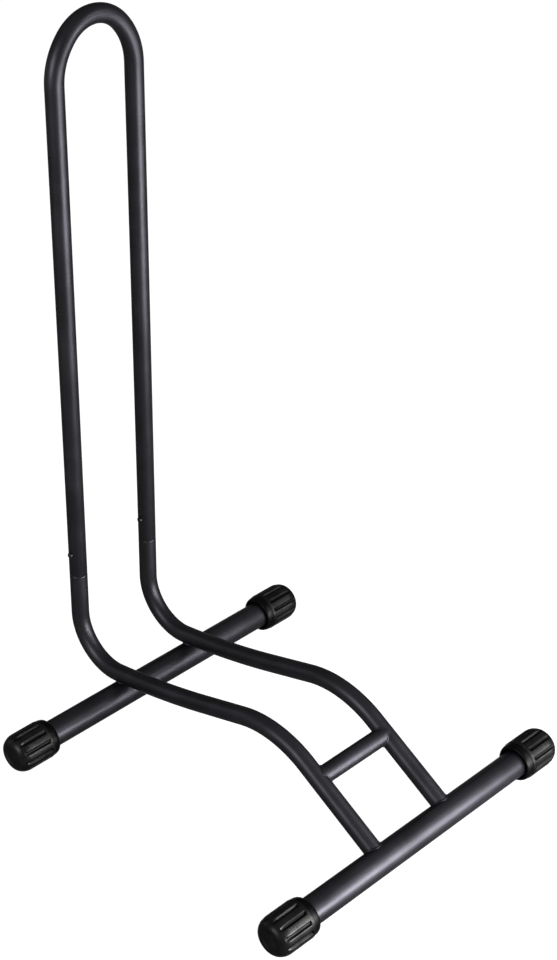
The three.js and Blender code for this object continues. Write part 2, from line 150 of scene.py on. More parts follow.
FLUTE_FLOOR_SHARE = 0.5  # of a flute's depth, below which its surface counts as its floor

# Weld beads: flat fillets round the ends of tubes, rounder beads in the groove on the rear foot
FILLET_RADIUS = 1.75 * MM
FILLET_DEPTH = 0.45 * MM  # centre of the fillet's round section below each tube's surface
FILLET_THINNING = 0.4  # share of the radius lost where two equal tubes run into each other
SEAT_BEAD_RADIUS = 1.7 * MM
SEAT_BEAD_OFFSET = 0.6 * MM
BEAD_SADDLE = 3 * MM
RIPPLE_PITCH = 1.9 * MM
RIPPLE_HEIGHT = 0.08 * MM
RIPPLE_LAG = 0.3  # of a ripple, between the middle of the bead's face and its edges

# Fineness of the meshes
TUBE_SIDES = 72
BUTTON_SIDES = 48
HOLE_SIDES = 32
SHORTEST_RUN = 0.001 * MM
BEND_STEP = 2 * MM
STATION_DIGITS = 7  # after the decimal point of a distance along a path
CURVE_STEPS = 8
RIM_STEPS = 3
CAP_END_STEPS = 24
CAP_ROW_STEP = 7 * MM
CAP_ROWS = 3
LAND_ROWS = (0.5, 0.8)  # edges between two flutes, as shares of half a land's width
BEAD_SIDES = 18
BEAD_TRIAL_STEPS = 64
BEAD_STEPS_PER_RIPPLE = 6

# Edges are sharp where faces meet at more than this
SHARP_ANGLE = math.radians(38)
BEAD_SHARP_ANGLE = math.radians(70)
CAP_SHARP_ANGLE = math.radians(60)


# ---------------------------------------------------------------- meshes


def shade(mesh, sharp_angle=SHARP_ANGLE):
    mesh.shade_smooth()
    mesh.set_sharp_from_angle(angle=sharp_angle)


def new_piece(name, bm, material, sharp_angle=SHARP_ANGLE):
    """A smooth-shaded mesh object with sharp edges where faces meet at more than sharp_angle."""
    bmesh.ops.recalc_face_normals(bm, faces=bm.faces)
    mesh = bpy.data.meshes.new(name)
    bm.to_mesh(mesh)
    bm.free()
    shade(mesh, sharp_angle)
    mesh.materials.append(material)
    piece = bpy.data.objects.new(name, mesh)
    bpy.context.scene.collection.objects.link(piece)
    return piece


def stand_for(piece, node, body):
    """piece takes the place of a CAD node and moves with its body."""
    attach(piece, body)
    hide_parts(node)
    return piece


def skin(rings, closed=False):
    """Faces between rings of points. A ring may be a single point, where the skin closes like a fan.

    A closed skin joins its last ring to its first.
    """
    bm = bmesh.new()
    loops = [[bm.verts.new(point) for point in ring] for ring in rings]
    pairs = list(zip(loops, loops[1:]))
    if closed:
        pairs.append((loops[-1], loops[0]))
    for lower, upper in pairs:
        sides = max(len(lower), len(upper))
        for i in range(sides):
            j = (i + 1) % sides
            bottom = [lower[k % len(lower)] for k in (i, j)]
            top = [upper[k % len(upper)] for k in (j, i)]
            bm.faces.new(list(dict.fromkeys(bottom + top)))
    return bm


def toward(angle, first, second):
    """The way at an angle from first, turned towards second."""
    return first * math.cos(angle) + second * math.sin(angle)


def quarter_ellipse(steps, point_at):
    """Points on a quarter of an ellipse: point_at(angle), from 0 to a right angle."""
    return [point_at(math.pi / 2 * i / steps) for i in range(steps + 1)]


Run = namedtuple("Run", "begin length start way centre axis")


class Path:
    """A centreline of straight runs and round bends in one plane, read by distance along it."""

    def __init__(self, corners, radii, side):
        self.side = side
        self.runs = []
        self.length = 0
        here = corners[0]
        for i, radius in enumerate(radii):
            way_in = (corners[i + 1] - corners[i]).normalized()
            way_out = (corners[i + 2] - corners[i + 1]).normalized()
            turn = way_in.angle(way_out)
            start = corners[i + 1] - way_in * radius * math.tan(turn / 2)
            self.add_straight(here, start)
            axis = way_in.cross(way_out).normalized()
            centre = start + axis.cross(way_in) * radius
            self.runs.append(Run(self.length, radius * turn, start, way_in, centre, axis))
            self.length += radius * turn
            here = centre + Matrix.Rotation(turn, 3, axis) @ (start - centre)
        self.add_straight(here, corners[-1])

    def add_straight(self, start, end):
        way = end - start
        if way.length > SHORTEST_RUN:
            self.runs.append(Run(self.length, way.length, start, way.normalized(), None, None))
            self.length += way.length

    def at(self, distance):
        """Point and way at a distance, also beyond either end."""
        run = self.runs[0]
        for candidate in self.runs:
            if distance >= candidate.begin:
                run = candidate
        along = distance - run.begin
        if run.centre is None:
            return run.start + run.way * along, run.way
        arm = run.start - run.centre
        turned = Matrix.Rotation(along / arm.length, 3, run.axis)
        return run.centre + turned @ arm, turned @ run.way

    def stations(self, low, high):
        """Distances from low to high, close together along the bends."""
        found = [low]
        for run in self.runs:
            steps = 1 if run.centre is None else math.ceil(run.length / BEND_STEP)
            found += [run.begin + run.length * i / steps for i in range(steps + 1)]
        inside = sorted({round(d, STATION_DIGITS) for d in found if low < d < high})
        return [low, *inside, high]

    def ring(self, where, radius):
        """A ring round the path. where is a distance, or a function of the angle and radius."""
        points = []
        for i in range(TUBE_SIDES):
            angle = 2 * math.pi * i / TUBE_SIDES
            distance = where(angle, radius) if callable(where) else where
            point, way = self.at(distance)
            points.append(point + toward(angle, self.side, way.cross(self.side)) * radius)
        return points


def rim(distance, sign, outer, inner):
    """(distance, radius) round the end of a tube's wall, from the outer surface to the inner one.

    sign is 1 at the path's far end and -1 at its start.
    """
    outside = quarter_ellipse(
        RIM_STEPS,
        lambda a: (
            distance - sign * RIM_ROUNDING * (1 - math.sin(a)),
            outer - RIM_ROUNDING * (1 - math.cos(a)),
        ),
    )
    inside = [(d, outer + inner - r) for d, r in reversed(outside)]
    return outside + inside


def tube(path, outer):
    """A hollow tube along a path with rounded rims at both ends."""
    inner = outer - TUBE_WALL
    first, last = RIM_ROUNDING, path.length - RIM_ROUNDING
    stations = [d for d in path.stations(0, path.length) if first < d < last]
    rows = [(d, outer) for d in stations]
    rows += rim(path.length, 1, outer, inner)
    rows += [(d, inner) for d in reversed(stations)]
    rows += reversed(rim(0, -1, outer, inner))
    return skin([path.ring(d, r) for d, r in rows], closed=True)


def revolve(outline, place, axis, side, sides):
    """A closed body of revolution: outline lists (radius, height) from pole to pole."""
    ways = [toward(2 * math.pi * i / sides, side, axis.cross(side)) for i in range(sides)]
    rings = []
    for radius, height in outline:
        centre = place + axis * height
        rings.append([centre + way * radius for way in ways] if radius else [centre])
    return skin(rings)


def drill(piece, place, axis, radius, depth):
    """Cuts a round hole into a piece."""
    outline = [(0, 0), (radius, 0), (radius, depth), (0, depth)]
    bm = revolve(outline, place, axis, Z_AXIS, HOLE_SIDES)
    cutter = new_piece("hole_cutter", bm, piece.data.materials[0])
    cut = piece.modifiers.new("hole", "BOOLEAN")
    cut.object = cutter
    cut.operation = "DIFFERENCE"
    cut.solver = "EXACT"
    bpy.context.view_layer.update()
    graph = bpy.context.evaluated_depsgraph_get()
    drilled = bpy.data.meshes.new_from_object(piece.evaluated_get(graph))
    piece.modifiers.clear()
    piece.data = drilled
    shade(drilled)
    bpy.data.objects.remove(cutter)


# ---------------------------------------------------------------- materials


MOST_OF_NOISE = (0.3, 0.7)  # the values that a noise mostly takes
MIDDLE_OF_NOISE = (0.35, 0.65)


class Nodes:
    """A material's node tree, with short calls for the nodes that the finishes use."""

    def __init__(self, name):
        self.material = bpy.data.materials.new(name)
        self.material.use_nodes = True
        self.tree = self.material.node_tree
        self.shader = self.tree.nodes["Principled BSDF"]
        self.place = self.tree.nodes.new("ShaderNodeTexCoord").outputs["Object"]

    def link(self, source, target):
        self.tree.links.new(source, target)

    def noise(self, scale, detail=2, stretch=(1, 1, 1)):
        """Noise with scale cells to the metre."""
        mapping = self.tree.nodes.new("ShaderNodeMapping")
        mapping.inputs["Scale"].default_value = stretch
        self.link(self.place, mapping.inputs["Vector"])
        texture = self.tree.nodes.new("ShaderNodeTexNoise")
        texture.inputs["Scale"].default_value = scale
        texture.inputs["Detail"].default_value = detail
        self.link(mapping.outputs["Vector"], texture.inputs["Vector"])
        return texture.outputs["Fac"]

    def spread(self, value, source, target=(0, 1)):
        """value, from one range of numbers spread over another and clamped."""
        node = self.tree.nodes.new("ShaderNodeMapRange")
        sockets = ("From Min", "From Max", "To Min", "To Max")
        for socket, number in zip(sockets, (*source, *target)):
            node.inputs[socket].default_value = number
        self.link(value, node.inputs["Value"])
        return node.outputs["Result"]

    def colours(self, share, first, second):
        """first where share is 0 and second where it is 1. Each is a colour or a node's output."""
        node = self.tree.nodes.new("ShaderNodeMix")
        node.data_type = "RGBA"
        self.link(share, node.inputs["Factor"])
        for socket, colour in (("A", first), ("B", second)):
            if isinstance(colour, tuple):
                node.inputs[socket].default_value = (*colour, 1)
            else:
                self.link(colour, node.inputs[socket])
        return node.outputs["Result"]

    def bump(self, height, distance, strength, below=None):
        """Normals of a surface that height raises by distance, on top of the bump below."""
        node = self.tree.nodes.new("ShaderNodeBump")
        node.inputs["Distance"].default_value = distance
        node.inputs["Strength"].default_value = strength
        self.link(height, node.inputs["Height"])
        if below is not None:
            self.link(below, node.inputs["Normal"])
        return node.outputs["Normal"]

    def finish(self, colour, roughness, normal, **constants):
        """Links what varies, sets what is the same all over, and returns the material."""
        self.link(colour, self.shader.inputs["Base Color"])
        self.link(roughness, self.shader.inputs["Roughness"])
        self.link(normal, self.shader.inputs["Normal"])
        for socket, value in constants.items():
            self.shader.inputs[socket.replace("_", " ")].default_value = value
        return self.material


POWDER_DARK = (0.0094, 0.0093, 0.0108)
POWDER_LIGHT = (0.0130, 0.0128, 0.0150)
POWDER_ROUGHNESS = (0.39, 0.43)
POWDER_METAL = 0.85  # fine metal flake in the coat
POWDER_EDGE_TINT = (0.13, 0.13, 0.14, 1)
POWDER_SPECULAR = 0.2
PEEL_HEIGHT = 0.04 * MM
POWDER_GRAIN_HEIGHT = 0.02 * MM
SCRATCH_COLOUR = (0.09, 0.09, 0.093)
SCRATCH_STRETCH = (1, 1, 0.012)
SCRATCH_RANGE = (0.56, 0.66)  # of the streaks' noise, from no scratch to a full one


def powder_coat(name="black_powder_coat", scratched=False):
    """Satin black powder coat with fine orange peel, and rub marks where the hoop slides."""
    nodes = Nodes(name)
    tone = nodes.spread(nodes.noise(scale=26, detail=3), MIDDLE_OF_NOISE)
    roughness = nodes.spread(nodes.noise(scale=55), MOST_OF_NOISE, POWDER_ROUGHNESS)
    peel = nodes.bump(nodes.noise(scale=420), PEEL_HEIGHT, strength=0.5)
    grain_noise = nodes.noise(scale=1500, detail=1)
    grain = nodes.bump(grain_noise, POWDER_GRAIN_HEIGHT, strength=0.5, below=peel)
    colour = nodes.colours(tone, POWDER_DARK, POWDER_LIGHT)
    if scratched:
        streaks = nodes.noise(scale=900, stretch=SCRATCH_STRETCH)
        colour = nodes.colours(nodes.spread(streaks, SCRATCH_RANGE), colour, SCRATCH_COLOUR)
    return nodes.finish(
        colour,
        roughness,
        grain,
        Metallic=POWDER_METAL,
        Specular_IOR_Level=POWDER_SPECULAR,
        Specular_Tint=POWDER_EDGE_TINT,
    )


RUBBER_DARK = (0.0045, 0.0045, 0.0045)
RUBBER_LIGHT = (0.0078, 0.0078, 0.0077)
# Darker rubber colours: painted shade in the caps' mouths and on the floors of their flutes
PAINTED_SHADE_DARK = (0.0020, 0.0020, 0.0020)
PAINTED_SHADE_LIGHT = (0.0026, 0.0026, 0.0026)
RUBBER_ROUGHNESS = (0.33, 0.40)
RUBBER_GLOSS = 0.9  # share of the shader's metal part, which keeps the highlights dark
RUBBER_EDGE_TINT = (0.4, 0.4, 0.4, 1)
RUBBER_SPECULAR = 0.1
RUBBER_WAVE_HEIGHT = 0.08 * MM
RUBBER_GRAIN_HEIGHT = 0.06 * MM


def moulded_rubber(name, dark, light):
    """Black rubber with a fine moulded grain."""
    nodes = Nodes(name)
    tone = nodes.spread(nodes.noise(scale=70, detail=4), MIDDLE_OF_NOISE)
    roughness = nodes.spread(nodes.noise(scale=160), MOST_OF_NOISE, RUBBER_ROUGHNESS)
    waves = nodes.bump(nodes.noise(scale=180), RUBBER_WAVE_HEIGHT, strength=0.5)
    grain = nodes.bump(nodes.noise(scale=1100), RUBBER_GRAIN_HEIGHT, strength=0.8, below=waves)
    return nodes.finish(
        nodes.colours(tone, dark, light),
        roughness,
        grain,
        Metallic=RUBBER_GLOSS,
        Specular_IOR_Level=RUBBER_SPECULAR,
        Specular_Tint=RUBBER_EDGE_TINT,
    )


STEEL_DARK = (0.0065, 0.0065, 0.0068)
STEEL_LIGHT = (0.0105, 0.0105, 0.0108)
STEEL_ROUGHNESS = (0.42, 0.52)
STEEL_METAL = 0.9
STEEL_EDGE_TINT = (0.3, 0.3, 0.31, 1)
STEEL_GRAIN_HEIGHT = 0.01 * MM


def blackened_steel():
    """Blackened spring steel of the buttons and springs."""
    nodes = Nodes("blackened_steel")
    tone = nodes.spread(nodes.noise(scale=300, detail=3), MOST_OF_NOISE)
    roughness = nodes.spread(nodes.noise(scale=500), MOST_OF_NOISE, STEEL_ROUGHNESS)
    grain = nodes.bump(nodes.noise(scale=1800, detail=1), STEEL_GRAIN_HEIGHT, strength=0.4)
    return nodes.finish(
        nodes.colours(tone, STEEL_DARK, STEEL_LIGHT),
        roughness,
        grain,
        Metallic=STEEL_METAL,
        Specular_Tint=STEEL_EDGE_TINT,
    )


# ---------------------------------------------------------------- tubes


def heading(angle):
    return Vector((0, math.cos(angle), math.sin(angle)))


FRONT_AXIS = Vector((0, FRONT_Y, FOOT_Z))
REAR_AXIS = Vector((0, REAR_Y, FOOT_Z))
RISE = heading(RISE_ANGLE)
FALL = heading(-SEAT_FALL_ANGLE)
UP_FROM_FOOT = heading(math.pi / 2 - SEAT_FALL_ANGLE)
SEAT = REAR_AXIS + UP_FROM_FOOT * (FOOT_R + CLEARANCE + FRAME_R)


def side_path(x):
    """Centreline of a side tube, from the front foot's axis to the top of the neck."""
    crest = FRONT_AXIS + RISE * CREST_DISTANCE
    sweep = SEAT - FALL * SWEEP_REACH
    bend_reach = LEG_BEND_RADIUS * math.tan((math.pi / 2 + SEAT_FALL_ANGLE) / 2)
    heel = SEAT + FALL * (SEAT_TO_BEND + bend_reach)
    sweep_turn = (sweep - crest).angle(FALL)
    sweep_radius = SWEEP_REACH / math.tan(sweep_turn / 2)
    top = Vector((0, heel.y, NECK_TOP_Z))
    corners = [corner + X_AXIS * x for corner in (FRONT_AXIS, crest, sweep, heel, top)]
    return Path(corners, [CREST_RADIUS, sweep_radius, LEG_BEND_RADIUS], X_AXIS)


def cope(main_radius):
    """Distance from another tube's axis at which a tube meets its surface, by angle and radius."""

    def where(angle, radius):
        lift = radius * math.sin(angle)
        return math.sqrt(max(main_radius**2 - lift**2, 0))

    return where


def side_tube(name, node, x, coat, rubbed_coat):
    """Side tube with its coped foot, the rounded shoulder under the hoop, and the swaged neck."""
    path = side_path(x)
    end = path.length
    shoulder = end - (NECK_TOP_Z - SHOULDER_TOP_Z)
    neck_foot = shoulder - SEAT_ROUNDING
    taper_foot = neck_foot - NECK_TAPER
    bore = FRAME_R - TUBE_WALL
    neck_bore = NECK_R - TUBE_WALL
    meet_foot = cope(FOOT_R)
    first = FOOT_R + RIM_ROUNDING
    outside = [(d, FRAME_R) for d in path.stations(first, neck_foot)]
    rounding = quarter_ellipse(
        CURVE_STEPS,
        lambda a: (
            shoulder - SEAT_ROUNDING * (1 - math.sin(a)),
            NECK_R + (FRAME_R - NECK_R) * math.cos(a),
        ),
    )
    neck = [(shoulder + d, NECK_R) for d in NECK_ROWS]
    tip = [(end - NECK_TIP_CHAMFER, NECK_R), (end, NECK_R - NECK_TIP_CHAMFER), (end, neck_bore)]
    hollow = [(neck_foot, neck_bore), (taper_foot, bore)]
    inside = [(d, bore) for d in reversed(path.stations(first, taper_foot)[:-1])]
    rows = [(meet_foot, FRAME_R), *outside, *rounding[1:], *neck]
    rows += [*tip, *hollow, *inside, (meet_foot, bore)]
    bm = skin([path.ring(where, radius) for where, radius in rows], closed=True)
    piece = new_piece(name, bm, coat)
    drill(piece, Vector((x, LEG_Y, BUTTON_Z)), -X_AXIS, BUTTON_STEM_R + CLEARANCE, FRAME_R)
    piece.data.materials.append(rubbed_coat)
    for face in piece.data.polygons:
        if face.center.z > SHOULDER_TOP_Z - RIM_ROUNDING:
            face.material_index = 1
    return stand_for(piece, node, "frame")


def hoop(coat):
    """The tall hoop: two legs and a three-centred arch, open at both ends, with the button holes."""
    lean = math.acos((SHOULDER_RADIUS - LEG_X) / (SHOULDER_RADIUS - CROWN_RADIUS))
    rise = (SHOULDER_RADIUS - CROWN_RADIUS) * math.sin(lean) + CROWN_RADIUS
    leg_top = HOOP_TOP_Z - FRAME_R - rise
    shoulder_reach = SHOULDER_RADIUS * math.tan(lean / 2)
    crown_reach = CROWN_RADIUS * math.tan((math.pi / 2 - lean) / 2)
    corners = [
        Vector((-LEG_X, LEG_Y, SEAM_Z)),
        Vector((-LEG_X, LEG_Y, leg_top + shoulder_reach)),
        Vector((-crown_reach, LEG_Y, leg_top + rise)),
        Vector((crown_reach, LEG_Y, leg_top + rise)),
        Vector((LEG_X, LEG_Y, leg_top + shoulder_reach)),
        Vector((LEG_X, LEG_Y, SEAM_Z)),
    ]
    path = Path(corners, [SHOULDER_RADIUS, CROWN_RADIUS, CROWN_RADIUS, SHOULDER_RADIUS], Y_AXIS)
    piece = new_piece("hoop_tube", tube(path, FRAME_R), coat)
    for x in (-LEG_X, LEG_X):
        place = Vector((x, LEG_Y, BUTTON_Z))
        drill(piece, place, -X_AXIS, BUTTON_STEM_R + CLEARANCE, FRAME_R + TUBE_WALL)
    return stand_for(piece, "upper_hoop", "hoop")


def foot_tube(end, axis, low, high, coat):
    path = Path([Vector((low, axis.y, axis.z)), Vector((high, axis.y, axis.z))], [], Y_AXIS)
    piece = new_piece(f"{end}_foot", tube(path, FOOT_R), coat)
    return stand_for(piece, f"{end}_foot_tube", "frame")


def cross_tube(coat):
    """The crossbar, coped to the side tube at both ends."""
    ends = [BAR_CENTRE - X_AXIS * LEG_X, BAR_CENTRE + X_AXIS * LEG_X]
    path = Path(ends, [], RISE)
    meet = cope(FRAME_R)
    bore = FRAME_R - TUBE_WALL

    def meet_far(angle, radius):
        return path.length - meet(angle, radius)

    rows = [(meet, FRAME_R), (meet_far, FRAME_R), (meet_far, bore), (meet, bore)]
    bm = skin([path.ring(where, radius) for where, radius in rows], closed=True)
    return stand_for(new_piece("cross_tube", bm, coat), "crossbar", "frame")


# ---------------------------------------------------------------- weld beads


def bead(name, node, frame_at, coat):
    """A faintly rippled bead swept round a joint.

    frame_at gives the section's centre and radius, its way outward and the joint's axis.
    """
    turns = [2 * math.pi * i / BEAD_TRIAL_STEPS for i in range(BEAD_TRIAL_STEPS + 1)]
    centres = [frame_at(angle)[0] for angle in turns]
    around = sum((after - before).length for before, after in zip(centres, centres[1:]))
    ripples = round(around / RIPPLE_PITCH)
    steps = ripples * BEAD_STEPS_PER_RIPPLE
    rings = []
    for i in range(steps):
        centre, section_radius, outward, axis = frame_at(2 * math.pi * i / steps)
        ring = []
        for k in range(BEAD_SIDES):
            section = 2 * math.pi * k / BEAD_SIDES
            wave = (i / BEAD_STEPS_PER_RIPPLE + RIPPLE_LAG * math.cos(2 * section)) % 1
            radius = section_radius - RIPPLE_HEIGHT * wave**2
            ring.append(centre + toward(section, outward, axis) * radius)
        rings.append(ring)
    piece = new_piece(name, skin(rings, closed=True), coat, BEAD_SHARP_ANGLE)
    return stand_for(piece, node, "frame")


def end_fillet(name, node, origin, axis, sideways, main_radius, coat, saddle=0):
    """Fillet round the end of a frame tube that runs along axis into the middle of another tube.

    saddle keeps the fillet that far from the other tube's axis, where its curve would come to a point.
    """
    across = axis.cross(sideways)
    branch = FRAME_R - FILLET_DEPTH
    main = main_radius - FILLET_DEPTH
    thinning = FILLET_THINNING * (FRAME_R / main_radius) ** 2

    def frame_at(angle):
        outward = toward(angle, sideways, across)
        lift = branch * math.sin(angle)
        along = math.sqrt(max(main**2 - lift**2, 0) + saddle**2)
        radius = FILLET_RADIUS * (1 - thinning * math.sin(angle) ** 2)
        return origin + outward * branch + axis * along, radius, outward, axis

    return bead(name, node, frame_at, coat)


def seat_bead(name, node, x, coat):
    """Bead round the seat where the side tube rests on the rear foot."""
    foot = FOOT_R + SEAT_BEAD_OFFSET
    side = FRAME_R + SEAT_BEAD_OFFSET
    apart = FOOT_R + CLEARANCE + FRAME_R
    half_width = math.sqrt(side**2 - (apart - foot) ** 2)
    origin = REAR_AXIS + X_AXIS * x

    def frame_at(angle):
        across = half_width * math.cos(angle)
        drop = math.sqrt(side**2 - across**2)
        reach = math.sqrt(max(foot**2 - (apart - drop) ** 2, 0))
        along = math.copysign(reach, math.sin(angle))
        outward = toward(angle, X_AXIS, FALL)
        centre = origin + X_AXIS * across + FALL * along + UP_FROM_FOOT * (apart - drop)
        return centre, SEAT_BEAD_RADIUS, outward, UP_FROM_FOOT

    return bead(name, node, frame_at, coat)


# ---------------------------------------------------------------- snap buttons and springs


def neck_reach(width):
    """How far from the neck's axis something of that width can lie inside the bore."""
    limit = NECK_R - TUBE_WALL - CLEARANCE
    return math.sqrt(limit**2 - width**2 / 4)


def snap_button(side, x, steel):
    """Domed button with its retaining flange, pointing to -X."""
    flange_top = BUTTON_BACK + BUTTON_FLANGE
    dome = quarter_ellipse(
        CURVE_STEPS,
        lambda a: (BUTTON_STEM_R * math.cos(a), BUTTON_TIP - BUTTON_DOME * (1 - math.sin(a))),
    )
    outline = [
        (0, BUTTON_BACK),
        (BUTTON_R, BUTTON_BACK),
        (BUTTON_R, flange_top),
        (BUTTON_STEM_R, flange_top),
        *dome[:-1],
        (0, BUTTON_TIP),
    ]
    bm = revolve(outline, Vector((x, LEG_Y, BUTTON_Z)), -X_AXIS, Z_AXIS, BUTTON_SIDES)
    piece = new_piece(f"{side}_button", bm, steel)
    return stand_for(piece, f"{side}_snap_button", f"{side}_button")


def button_spring(side, x, steel):
    """Hairpin leaf spring in the neck: one arm lies behind the button, one on the far wall."""
    behind = BUTTON_BACK - CLEARANCE - SPRING_THICKNESS / 2
    on_wall = neck_reach(SPRING_WIDTH) - SPRING_THICKNESS / 2
    top = BUTTON_Z + SPRING_OVERRUN
    foot = BUTTON_Z - SPRING_DROP
    bend_start = on_wall - 2 * SPRING_BEND - SPRING_THICKNESS

    def at(towards_button, z):
        return Vector((x - towards_button, LEG_Y, z))

    corners = [at(behind, top), at(-bend_start, foot), at(-on_wall, foot), at(-on_wall, top)]
    path = Path(corners, [SPRING_BEND, SPRING_BEND], Y_AXIS)
    half_width = SPRING_WIDTH / 2
    half_thick = SPRING_THICKNESS / 2
    section = [
        (-half_width, -half_thick),
        (half_width, -half_thick),
        (half_width, half_thick),
        (-half_width, half_thick),
    ]
    along_arm = [SPRING_DROP * i / CURVE_STEPS for i in range(1, CURVE_STEPS)]
    rings = []
    for distance in sorted({*path.stations(0, path.length), *along_arm}):
        point, way = path.at(distance)
        across = way.cross(Y_AXIS)
        rings.append([point + Y_AXIS * u + across * v for u, v in section])
    bm = skin(rings)
    bm.verts.ensure_lookup_table()
    bm.faces.new(bm.verts[: len(section)])
    bm.faces.new(bm.verts[-len(section) :])
    piece = new_piece(f"{side}_spring", bm, steel)
    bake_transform(piece)
    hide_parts(f"{side}_button_spring")
    return piece


# ---------------------------------------------------------------- rubber caps


# Where the mesh has edges across a flute's wall, as shares of its width: round both its corners
CORNER_STEPS = (-FLUTE_ROUNDING, -FLUTE_ROUNDING / 3, FLUTE_ROUNDING / 3, FLUTE_ROUNDING)
WALL_STEPS = [*CORNER_STEPS, *(1 + step for step in CORNER_STEPS)]


def ramp(value):
    """0 below 0, 1 above 1 and straight between, with rounded corners."""

    def rise(along):
        if abs(along) > FLUTE_ROUNDING:
            return max(along, 0)
        return (along + FLUTE_ROUNDING) ** 2 / (4 * FLUTE_ROUNDING)

    return rise(value) - rise(value - 1)


def cap_outside():
    """(height from the mouth, radius) down the outside of the cap, as if it had no flutes."""
    lip_r = CAP_R - CAP_LIP_DEPTH
    lip_rise = CAP_LIP_DEPTH - COLLAR_STEP
    lip = quarter_ellipse(
        CURVE_STEPS,
        lambda a: (CAP_LIP_LENGTH * (1 - math.cos(a)), lip_r + lip_rise * math.sin(a)),
    )
    lip.append((COLLAR_START, CAP_R - COLLAR_STEP))
    collar = quarter_ellipse(
        RIM_STEPS,
        lambda a: (
            COLLAR_START + COLLAR_STEP * (1 - math.cos(a)),
            CAP_R - COLLAR_STEP * (1 - math.sin(a)),
        ),
    )
    middle = [(FLUTE_START + FLUTE_END_WALL * step, CAP_R) for step in WALL_STEPS]
    middle += [(FLUTE_START + CAP_ROW_STEP * (i + 1), CAP_R) for i in range(CAP_ROWS)]
    end_flat = CAP_LENGTH - CAP_DOME
    end = quarter_ellipse(
        CAP_END_STEPS,
        lambda a: (
            end_flat - CAP_END_ROUND_LENGTH * (1 - math.sin(a)),
            CAP_R - CAP_END_ROUND_DEPTH * (1 - math.cos(a)),
        ),
    )
    flat_r = CAP_R - CAP_END_ROUND_DEPTH
    crown = []
    for i in range(1, CURVE_STEPS):
        share = 1 - i / CURVE_STEPS
        crown.append((end_flat + CAP_DOME * (1 - share**2) ** 2, flat_r * share))
    return lip + collar[1:] + middle + end + crown


def cap_inside():
    """(height, radius) from the mouth's rim, through the recess and the bore, to the end wall."""
    recess_r = CAP_R - CAP_LIP_DEPTH - CAP_LIP_WALL
    return [
        (CAP_LIP_DROP, recess_r + CAP_LIP_WALL - CAP_LIP_ROUNDING / 2),
        (0, recess_r + CAP_LIP_WALL / 2),
        (0, recess_r + CAP_LIP_ROUNDING),
        (CAP_LIP_ROUNDING, recess_r),
        (CAP_RECESS - CAP_LIP_ROUNDING, recess_r),
        (CAP_RECESS, recess_r - CAP_LIP_ROUNDING),
        (CAP_RECESS, CAP_BORE_R),
        (CAP_LENGTH - CAP_END_WALL, CAP_BORE_R),
    ]


def flute_columns():
    """(angle, share of a flute's depth) round the cap, close together at the flutes' walls."""
    half = FLUTE_WIDTH / 2
    pitch = math.pi * CAP_R / FLUTE_COUNT
    walls = [(half - FLUTE_WALL * step, ramp(step)) for step in reversed(WALL_STEPS)]
    land = [(half + (pitch - half) * share, 0) for share in LAND_ROWS]
    right = [*walls, *land]
    left = [(2 * pitch - offset, share) for offset, share in reversed(right)]
    one = [(0, 1), *right, (pitch, 0), *left]
    columns = []
    for flute in range(FLUTE_COUNT):
        centre = 2 * math.pi * flute / FLUTE_COUNT
        columns += [(centre + offset / CAP_R, share) for offset, share in one]
    return columns


def rubber_cap(end, side, sign, y, rubber, painted_shade_rubber):
    """Moulded cap with a recessed mouth and twelve flutes that run out on the rounded end.

    Its mouth and the floors of its flutes get a darker rubber colour: painted shade for the recess,
    the mouth's shoulder and the flutes' floors.
    """
    columns = flute_columns()
    floor = CAP_R - FLUTE_DEPTH
    mouth = Vector((sign * (CAP_END_X - CAP_LENGTH), y, FOOT_Z))
    axis = X_AXIS * sign

    def ring(height, radius, outside):
        started = ramp((height - FLUTE_START) / FLUTE_END_WALL)
        points = []
        for angle, share in columns:
            depth = max(radius - floor, 0) * share * started if outside else 0
            points.append(mouth + axis * height + toward(angle, Y_AXIS, Z_AXIS) * (radius - depth))
        return points

    rows = [(height, radius, False) for height, radius in reversed(cap_inside())]
    rows += [(height, radius, True) for height, radius in cap_outside()]
    inner_pole = [mouth + axis * (CAP_LENGTH - CAP_END_WALL)]
    outer_pole = [mouth + axis * CAP_LENGTH]
    bm = skin([inner_pole, *[ring(*row) for row in rows], outer_pole])
    piece = new_piece(f"{end}_{side}_rubber_cap", bm, rubber, CAP_SHARP_ANGLE)
    piece.data.materials.append(painted_shade_rubber)
    count = len(columns)
    for i, (_, share) in enumerate(columns):
        on_floor = min(share, columns[(i + 1) % count][1]) > FLUTE_FLOOR_SHARE
        # The first faces are the fan round the inner pole, then come those above each row
        for row, (height, radius, outside) in enumerate(rows[:-1], start=1):
            # The mouth and the flutes' floors take the darker rubber, as painted shade
            in_mouth = not outside or height < COLLAR_START
            in_flute = on_floor and height > FLUTE_START and radius > floor
            if in_mouth or in_flute:
                piece.data.polygons[row * count + i].material_index = 1
    return stand_for(piece, f"{end}_{side}_cap", "frame")


# ---------------------------------------------------------------- the rack


